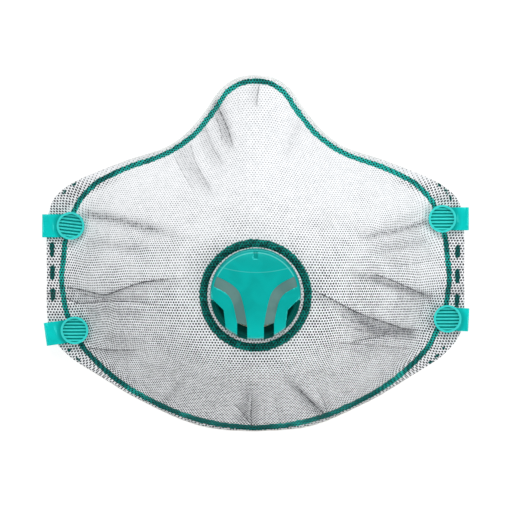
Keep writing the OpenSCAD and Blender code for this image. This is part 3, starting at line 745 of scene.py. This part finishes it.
# The strands take the painted valley shade, the ink and the painted crease shade.
for share, colour in ((valley_shading, valley_shade_grey), (printed, ink), (crease_shade, crease_shade_dark)):
    strand = blend_of(tree, share, strand, colour)
dot = blend_of(tree, printed, hole_dark, hole_teal)
seen = times(tree, holes, ramp(tree, openness_and_painted_shade, 0.2, 0.9, 0.5, 1.0))
weave = less(tree, times(tree, fuzz, 0.4), holes)
finish(tree, bsdf, blend_of(tree, seen, strand, dot), weave, 0.12 * MM, 0.7)

outer_net = new_piece("knitted_net", *net_solid, net_paint)
flat_points = net_solid[0][:, :2]
edge_line = on_loop(even_turns(160))[:, :2]
edge_line = np.vstack([edge_line, edge_line[:1]])
note(outer_net, "cloth", cloth_places(*net_solid) / MM)
note(outer_net, "to_line", along_path(flat_points, smooth_path(printed_line) * MM)[0])
note(outer_net, "from_edge", abs(along_path(flat_points, edge_line)[0]))
to_dash = np.inf
for dashes, half in ((side_dashes, side_dash_half), (corner_dashes, corner_dash_half)):
    for ends in dashes:
        far = abs(along_path(flat_points, np.array(ends) * MM)[0]) - half
        to_dash = np.minimum(to_dash, far)
note(outer_net, "to_dash", to_dash)
for k, group in enumerate(crease_groups):
    note(outer_net, f"crease_{k}", creases(flat_points, group))
note(outer_net, "painted_valley_shade", painted_valley_shade(flat_points))
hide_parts("outer_net")
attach(outer_net, "mask")


# ---- Layers under the net -----------------------------------------------------------
# Four layers lie under the net: a thin dark nonwoven that shows through its holes, a soft
# filter fleece, the stiff moulded felt that keeps the cup's form, and a smooth lining
# against the face. All are welded together in the flange, where their cut edges show.
layers = [
    ("dark_nonwoven", "backing_layer", "backing", 0.4, 0.9,
     (0.045, 0.05, 0.055), (0.09, 0.095, 0.1)),
    ("filter_fleece", "filter_media", "fleece", 0.9, 1.8, (0.80, 0.80, 0.77), (0.90, 0.90, 0.88)),
    ("moulded_felt", "support_shell", "felt", 1.8, 2.8, (0.66, 0.65, 0.61), (0.82, 0.81, 0.78)),
    ("smooth_lining", "inner_lining", "lining", 2.8, 3.2, (0.78, 0.78, 0.77), (0.90, 0.90, 0.89)),
]
for name, node, slot, low, high, dark, light in layers:
    paint, tree, bsdf = material(name, roughness=0.85, sheen_weight=0.2)
    place = object_place(tree)
    fuzz = use(tree, fibres, place=place, fineness=1500.0, clumps=260.0)["Value"]
    bonded = use(
        tree, knit_holes, place=scaled(tree, place, 1000.0, 1000.0, 1000.0),
        pitch=2.4, step=1.5, radius=0.32, softness=0.12,
    )["Hole"]
    colour = blend_of(tree, ramp(tree, fuzz, 0.35, 0.65), dark, light)
    colour = blend_of(tree, times(tree, bonded, 0.35), colour, tuple(0.7 * c for c in light))
    finish(tree, bsdf, colour, less(tree, fuzz, times(tree, bonded, 0.5)), 0.15 * MM, 0.6)
    every = 1 if node == "inner_lining" else 2
    top, bottom = at_depth(low * MM, every), at_depth(high * MM - layer_gap, every)
    layer = new_piece(name, *close_grids(top, bottom), paint)
    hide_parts(node)
    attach(layer, "mask")


# ---- Face seal ----------------------------------------------------------------------
# A soft clear film is welded under the whole flange. Its lip turns in and down at nose and
# chin to lie on the skin, and over the nose its outer edge stands out past the net.
seal_t, seal_gap = 0.5 * MM, 0.05 * MM
lip_w, lip_droop = 7.5 * MM, 2 * MM
film_proud, nose_end, chin_end = 0.9 * MM, 24 * MM, -40 * MM
nose_fade, chin_fade = 15 * MM, 12 * MM


def seal_side(drop):
    """One side of the film, in rows from the lip's free edge to the outer edge."""
    points = on_loop(turns)
    edge, seam = points[:, :2], points[:, 2:]
    ahead = on_loop(turns + 0.3)[:, :2] - on_loop(turns - 0.3)[:, :2]
    out = unit(ahead[:, ::-1] * (1, -1))

    def at_nose(y):
        return (((y - nose_end).clip(0) / nose_fade) ** 1.5).clip(0, 1)

    at_chin = ((chin_end - seam[:, 1]).clip(0) / chin_fade) ** 1.5
    away = (at_nose(seam[:, 1]) + at_chin).clip(0, 1)
    top = -flange_t - seal_gap - drop
    rows = []
    for share in np.linspace(1, 0, 9):
        xy = seam - out * lip_w * share
        z = rim_height(seam[:, 1]) + top - lip_droop * away * share**2
        rows.append(with_height(xy, z))
    film = edge + out * film_proud * at_nose(edge[:, 1])[:, None]
    for t in np.linspace(0, 1, 6)[1:]:
        z = flange_height(seam, edge, t) + top
        rows.append(with_height(seam * (1 - t) + film * t, z))
    return np.array(rows)


film_paint, tree, bsdf = material("clear_film", roughness=0.32, alpha=0.62, ior=1.5)
place = object_place(tree)
milky = ramp(tree, noise(tree, place, 160.0, 3.0), 0.35, 0.65)
clear = blend_of(tree, milky, (0.80, 0.84, 0.84), (0.92, 0.94, 0.94))
finish(tree, bsdf, clear, noise(tree, place, 1800.0, 2.0), 0.03 * MM, 0.4)
face_seal = new_piece("seal_film", *close_grids(seal_side(0), seal_side(seal_t)), film_paint)
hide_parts("face_seal")
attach(face_seal, "mask")


# ---- Nose strip and foam ------------------------------------------------------------
# A soft aluminium strip inside the nose keeps the bend that the wearer gives it, and an
# open-cell foam pad over it fills the gap beside the nose.
foam_top, foam_t = 4.05 * MM, 2.2 * MM
foam_columns, foam_rows = 61, 15
foam_reach, foam_high, foam_low = 5, 0.73, 0.9
foam_turns = nose_turn + np.linspace(-foam_reach, foam_reach, foam_columns)
foam_shares = np.linspace(foam_high, foam_low, foam_rows)


def inside_wall(v, depth):
    """A row of points at a depth under the cup's wall over the nose."""
    nudge = 0.02
    fan = np.stack([foam_turns - nudge, foam_turns, foam_turns + nudge])
    here, out = wall_row(fan, v), wall_row(fan, v + nudge) - wall_row(fan, v - nudge)
    normal = unit(np.cross(out[1], here[2] - here[0]))
    return here[1] - normal * np.reshape(depth, (-1, 1))


across = np.linspace(-1, 1, foam_rows)[:, None]
lengthways = np.linspace(-1, 1, foam_columns)[None, :]
crown = (1 - abs(across) ** 4) ** 0.5 * (1 - abs(lengthways) ** 14) ** 0.5
uneven = 0.07 * MM * np.sin(across * 9 + lengthways * 31) * np.sin(lengthways * 57 + across * 5)
foam_depth = foam_top + foam_t * (0.12 + 0.88 * crown) + uneven * crown
foam_upper = np.array([inside_wall(v, foam_top) for v in foam_shares])
foam_lower = np.array([inside_wall(v, depth) for v, depth in zip(foam_shares, foam_depth)])


foam_paint, tree, bsdf = material("open_foam", roughness=0.95)
sockets = {"Vector": object_place(tree), "Scale": 1500.0}
cells = put(tree, "TexVoronoi", sockets, feature="DISTANCE_TO_EDGE").outputs["Distance"]
cell_wall = ramp(tree, cells, 0.02, 0.22)
# The pores are painted darker than the cell walls: painted shade in the pores.
foamed = blend_of(tree, cell_wall, (0.20, 0.215, 0.225), (0.055, 0.06, 0.065))
finish(tree, bsdf, foamed, less(tree, 1.0, cell_wall), 0.25 * MM)
foam_solid = close_grids(foam_upper, foam_lower, rings=False)
nose_foam = new_piece("nose_pad", *foam_solid, foam_paint, math.radians(70))
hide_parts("nose_foam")
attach(nose_foam, "mask")

strip_paint, tree, bsdf = material("rolled_aluminium", metallic=1.0, roughness=0.38)
brushed = noise(tree, scaled(tree, object_place(tree), 0.1, 1.0, 1.0), 3000.0, 3.0)
metal = blend_of(tree, brushed, (0.55, 0.56, 0.57), (0.74, 0.75, 0.76))
finish(tree, bsdf, metal, brushed, 0.02 * MM, 0.3)


def dress(node, paint):
    """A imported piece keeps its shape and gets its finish."""
    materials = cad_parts[node].data.materials
    materials.clear()
    materials.append(paint)


dress("nose_clip", strip_paint)


# ---- Weld ring ----------------------------------------------------------------------
# Round the valve the net is melted down to a dark ring. Its holes are wide and nearly
# black, and the strands between them shine a little in deep teal.
ring_paint, tree, bsdf = material(
    "melted_net", roughness=0.4, specular_ior_level=0.3, specular_tint=(0.3, 1, 0.9, 1)
)
place = object_place(tree)
level, to_middle = scaled(tree, place, 1000.0, 1000.0, 0.0), (0.0, -valve_middle[1] / MM, 0.0)
cloth = put(tree, "VectorMath", {0: level, 1: to_middle}, operation="ADD").outputs[0]
from_valve = put(tree, "VectorMath", {0: cloth}, operation="LENGTH").outputs["Value"]
specks, shreds = noise(tree, place, 620.0, 2.0), noise(tree, place, 1500.0, 2.0, 1.5)
holes = use(
    tree, knit_holes, place=cloth, pitch=hole_pitch, step=hole_step,
    radius=ramp(tree, specks, 0.35, 0.65, 0.28, 0.46), softness=0.12,
)["Hole"]
strands = blend_of(tree, ramp(tree, shreds, 0.4, 0.6), (0.0, 0.035, 0.03), (0.004, 0.26, 0.22))
outer_share = ramp(tree, from_valve, 18.2, 19.4, 0.0, 0.5)
strands = blend_of(tree, outer_share, strands, (0.0, 0.28, 0.23))
melted = blend_of(tree, holes, strands, (0.0, 0.012, 0.012))
finish(tree, bsdf, melted, less(tree, shreds, holes), 0.2 * MM, 0.9)
dress("valve_weld_ring", ring_paint)


# ---- Valve body and flap ------------------------------------------------------------
# The valve body, the ring that clamps it from inside and the clip over the flap's bead are
# moulded in the same teal plastic as the cap; the valve body, which lies in the cap's shade,
# is painted a darker teal as painted shade. The flap is thin cream rubber.
def moulding_group():
    """Faint flow marks and a very fine grain, as a hot moulding has them."""
    group, given, found = new_group("moulding", ("Flow", "Grain"), ("Flow Mark", "Height"))
    flow = noise(group, given["Place"], given["Flow"], 2.0, 0.6)
    grain = noise(group, given["Place"], given["Grain"], 2.0)
    group.links.new(flow, found["Flow Mark"])
    height = plus(group, times(group, flow, 0.6), times(group, grain, 0.4))
    group.links.new(height, found["Height"])
    return group


moulding = moulding_group()


def plastic(name, dark, light, roughness):
    """A moulded plastic between two shades of one colour."""
    gloss = 0.4 if roughness > 0.2 else 0.8
    paint, tree, bsdf = material(
        name, roughness=roughness, specular_ior_level=gloss, specular_tint=(0.15, 1.0, 0.95, 1)
    )
    marks = use(tree, moulding, place=object_place(tree), flow=120.0, grain=2500.0)
    colour = blend_of(tree, ramp(tree, marks["Flow Mark"], 0.35, 0.65), dark, light)
    finish(tree, bsdf, colour, marks["Height"], 0.02 * MM, 0.35)
    return paint


teal_plastic = plastic("teal_plastic", (0.0, 0.33, 0.30), (0.0, 0.38, 0.35), 0.3)
# A darker copy of the teal plastic: painted shade for the valve body inside the cap.
shaded_teal_plastic = plastic("teal_plastic_painted_shade", (0.0, 0.085, 0.068), (0.0, 0.12, 0.098), 0.35)


def soften(node, width):
    """Breaks the moulded piece's sharp edges, as its mould does."""
    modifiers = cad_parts[node].modifiers
    modifiers.new("one_skin", "WELD").merge_threshold = 0.002 * MM
    edge = modifiers.new("broken_edges", "BEVEL")
    edge.width, edge.segments = width, 2
    edge.limit_method, edge.angle_limit = "ANGLE", math.radians(38)
    edge.use_clamp_overlap = edge.harden_normals = True


for node in ("valve_base", "valve_clamp_ring", "flap_retainer"):
    dress(node, shaded_teal_plastic if node == "valve_base" else teal_plastic)
    soften(node, 0.12 * MM)
rubber_paint, tree, bsdf = material("cream_rubber", roughness=0.5)
marks = use(tree, moulding, place=object_place(tree), flow=120.0, grain=900.0)
rubber = blend_of(tree, marks["Flow Mark"], (0.62, 0.55, 0.36), (0.76, 0.68, 0.47))
finish(tree, bsdf, rubber, marks["Height"], 0.02 * MM, 0.35)
dress("valve_flap", rubber_paint)


# ---- Valve cap ----------------------------------------------------------------------
# The cap snaps over the valve body. Two curved channels run down its crown, each with a
# grey inlay, and between its three legs the cap is open for the breath to leave.
ridge_r = cap_r - 0.95 * MM
mould_line_middle, mould_line_r = (0.2 * MM, 35.6 * MM), 42.5 * MM


def repaint(paint):
    """A plastic's nodes, the socket of its colour, that colour and the place on the piece."""
    tree = paint.node_tree
    socket = tree.nodes["Principled BSDF"].inputs["Base Color"]
    return tree, socket, socket.links[0].from_socket, object_place(tree)


cap_plastic = plastic("teal_plastic_cap", (0.0, 0.325, 0.295), (0.0, 0.37, 0.34), 0.14)
tree, socket, moulded, place = repaint(cap_plastic)
far = from_axis(tree, place, valve_middle)
height_y = put(tree, "SeparateXYZ", {0: place}).outputs["Y"]
# Painted shade darkens the rounded edge, where it turns away from the light, and painted light
# makes the legs below lighter.
legs_painted_light = ramp(tree, height_y, -29 * MM, -20 * MM, 0.8, 0.0)
edge_painted_shade = ramp(tree, far, cap_r - 0.7 * MM, cap_r - 0.1 * MM, 0.0, 0.6)
lighter = blend_of(tree, legs_painted_light, moulded, (0.0, 0.47, 0.43))
crowned = blend_of(tree, edge_painted_shade, lighter, (0.0, 0.10, 0.095))
# A painted highlight lies along the ridge of the upper edge, and a faint mould line is painted
# pale.
from_ridge = math_of(tree, "ABSOLUTE", less(tree, far, ridge_r))
ridge_highlight = ramp(tree, from_ridge, 0.05 * MM, 0.28 * MM, 1.0, 0.0)
ridge_highlight = times(tree, ridge_highlight, ramp(tree, height_y, -13 * MM, -6 * MM, 0.0, 0.32))
bowed = from_axis(tree, place, mould_line_middle)
from_line = math_of(tree, "ABSOLUTE", less(tree, bowed, mould_line_r))
highlight_and_mould_line = most(tree, ridge_highlight, ramp(tree, from_line, 0.05 * MM, 0.22 * MM, 0.12, 0.0))
tree.links.new(blend_of(tree, highlight_and_mould_line, crowned, (0.30, 0.86, 0.82)), socket)
dress("valve_cap", cap_plastic)
soften("valve_cap", 0.25 * MM)
dress("cap_stripes", plastic("grey_inlay", (0.085, 0.165, 0.155), (0.115, 0.205, 0.19), 0.5))


# ---- Buckles ------------------------------------------------------------------------
# Four buckles hold the headbands. Each has a ribbed button in front, an arm that folds
# round the flange's edge and a slotted bar behind, and swivels on a rivet.
rib_r, rib_foot, rib_top, button_r, shadow_r = 4.1 * MM, 8.5 * MM, 8.9 * MM, 5.0 * MM, 7.4 * MM
for corner, (x, y) in rivets.items():
    paint = plastic(f"buckle_plastic_{corner}", (0.0, 0.50, 0.465), (0.0, 0.60, 0.55), 0.2)
    tree, socket, moulded, place = repaint(paint)
    far = from_axis(tree, place, (x * MM, y * MM))
    height = put(tree, "SeparateXYZ", {0: place}).outputs["Z"]
    # Painted shade darkens the grooves between the ribs and the arm beside the button, and a
    # painted highlight lies on the crests.
    groove_shade = ramp(tree, far, rib_r, rib_r + 0.1 * MM, 0.72, 0.0)
    groove_shade = times(tree, groove_shade, ramp(tree, height, rib_foot, rib_top, 1.0, 0.0))
    beside = ramp(tree, far, button_r, shadow_r, 0.42, 0.0)
    beside = times(tree, beside, ramp(tree, far, button_r - 0.05 * MM, button_r))
    crest_highlight = ramp(tree, far, button_r - 0.05 * MM, button_r, 0.3, 0.0)
    crest_highlight = times(tree, crest_highlight, ramp(tree, height, rib_top - 0.25 * MM, rib_top))
    shaded = blend_of(tree, most(tree, groove_shade, beside), moulded, (0.0, 0.10, 0.095))
    tree.links.new(blend_of(tree, crest_highlight, shaded, (0.14, 0.82, 0.78)), socket)
    dress(f"buckle_{corner}", paint)
    soften(f"buckle_{corner}", 0.2 * MM)
dress("buckle_rivets", teal_plastic)


# ---- Headbands ----------------------------------------------------------------------
# Two flat knitted elastics with a rubber thread in each rib. Each comes up through the
# slots of its two buckles and folds back as a short tail, and its slack lies behind the
# mask in two rucks. Each is two lengths that meet in the middle, so that its ends can
# follow the buckles.
band_w, band_t, tail_l, join_r = 6.5 * MM, 0.8 * MM, 5.5 * MM, 9 * MM
ruck_l, ruck_gap, landing = 44 * MM, 2 * MM, 10 * MM
tail_gap, bar_t = 1.0 * MM, 1.1 * MM
section_points = 20
under_flange = flange_t + seal_t + 2 * seal_gap
tail_z = flange_z - under_flange - tail_gap - band_t / 2
band_z = tail_z - band_t - bar_t
# Each buckle: side (1 is right), run from the rivet to the slot in mm, and turn in degrees.
buckles = {
    "upper_left": (-1, 8.28, 0), "upper_right": (1, 7.57, 0),
    "lower_left": (-1, 8.68, -8), "lower_right": (1, 5.76, -3),
}


def buckle_frame(corner):
    """The rivet, the direction from it out through the slot, and how far the slot is."""
    side, reach, turn = buckles[corner]
    out = np.array([side * math.cos(math.radians(turn)), math.sin(math.radians(turn))])
    return np.array(rivets[corner]) * MM, out, reach * MM


def band_line(left, right, ruck_h, shift, side):
    """The middle line of one half of a headband, from its middle to its tail."""
    rivet_a, out_a, _ = buckle_frame(left)
    rivet_b, out_b, _ = buckle_frame(right)
    p, q = rivet_a - out_a * join_r, rivet_b - out_b * join_r
    length = np.hypot(*(q - p))
    s = np.linspace(0, length, 241)
    mids = length / 2 + np.array([-1, 1]) * (ruck_l / 2 + ruck_gap) + shift
    z = band_t / 2 + (band_z - band_t / 2) * ease(1 - np.minimum(s, length - s) / landing)
    for middle, height in zip(mids, (ruck_h, 0.8 * ruck_h)):
        near = abs(s - middle) < ruck_l / 2
        z += near * height * (1 + np.cos(math.tau * (s - middle) / ruck_l)) / 2
    line = np.column_stack([p + (q - p) * (s / length)[:, None], z])
    rivet, out, reach = buckle_frame(left if side < 0 else right)
    half = line[: len(s) // 2 + 1][::-1] if side < 0 else line[len(s) // 2 :]
    bend, bar_z = (tail_z - band_z) / 2, (tail_z + band_z) / 2
    local = [(k * reach, band_z) for k in np.linspace(-0.9, 0.7, 9)]
    for turn in np.radians(range(-75, 91, 15)):
        local.append((reach - bend + bend * math.cos(turn), bar_z + bend * math.sin(turn)))
    local += [(k * MM, tail_z) for k in np.linspace(reach / MM - 2, -tail_l / MM, 8)]
    end = np.array([[*(rivet + out * run), z] for run, z in local])
    line = np.vstack([half[:-3], end])
    for _ in range(2):
        line[1:-1] = (line[:-2] + 2 * line[1:-1] + line[2:]) / 4
    return line


def ribbon(name, line, paint):
    """A flat elastic swept along a line that climbs and turns back over itself."""
    step = unit(np.gradient(line, axis=0))
    flat = unit(line[-1] - line[0])
    across = unit(np.cross((0, 0, 1.0), flat))
    up = unit(np.cross(step, across))
    around = math.tau * np.arange(section_points) / section_points
    w = np.sign(np.cos(around)) * abs(np.cos(around)) ** 0.3 * band_w / 2
    t = np.sign(np.sin(around)) * abs(np.sin(around)) ** 0.75 * band_t / 2
    grid = line[:, None] + across * w[:, None] + up[:, None] * t[:, None]
    rows, cols = grid.shape[:2]
    ids = np.arange(rows * cols).reshape(rows, cols)
    after = np.roll(ids, -1, axis=1)
    quads = np.stack([ids[:-1], after[:-1], after[1:], ids[1:]], axis=-1).reshape(-1, 4)
    piece = new_piece(name, grid.reshape(-1, 3), quads, paint, math.radians(80))
    shaped = bmesh.new()
    shaped.from_mesh(piece.data)
    bmesh.ops.holes_fill(shaped, edges=[e for e in shaped.edges if e.is_boundary], sides=0)
    bmesh.ops.recalc_face_normals(shaped, faces=shaped.faces)
    shaped.to_mesh(piece.data)
    shaped.free()
    run = np.concatenate([[0], np.cumsum(np.linalg.norm(np.diff(line, axis=0), axis=1))])
    place = np.stack([np.repeat(run, cols), np.tile(w, rows), np.zeros(rows * cols)], axis=1)
    note(piece, "weave", place / MM)
    return piece


elastic_paint, tree, bsdf = material("knitted_elastic", roughness=0.8, sheen_weight=0.3)
weave = put(tree, "SeparateXYZ", {0: stored(tree, "weave", "Vector")}).outputs
threads, stitch_l = 9, 0.55
rib = times(tree, weave["Y"], math.pi * threads * MM / band_w)
rib = math_of(tree, "ABSOLUTE", math_of(tree, "SINE", rib))
cross = math_of(tree, "SINE", times(tree, weave["X"], math.tau / stitch_l))
cross = times(tree, plus(tree, cross, 1.0), 0.5)
thread = plus(tree, times(tree, rib, 0.75), times(tree, cross, 0.25))
# The grooves between the ribs and stitches, low in the bump, are painted a darker grey: painted
# shade.
knitted = blend_of(tree, ramp(tree, thread, 0.1, 0.8), (0.52, 0.53, 0.53), (0.86, 0.86, 0.85))
finish(tree, bsdf, knitted, thread, 0.18 * MM)

bands = [("upper", 12 * MM, -2 * MM), ("lower", 11 * MM, 3 * MM)]
for level, ruck_h, shift in bands:
    for side, hand in ((-1, "left"), (1, "right")):
        corner = f"{level}_{hand}"
        line = band_line(f"{level}_left", f"{level}_right", ruck_h, shift, side)
        band = ribbon(f"{level}_elastic_{hand}", line, elastic_paint)
        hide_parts(f"strap_end_{corner}", f"headband_{level}")
        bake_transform(band)
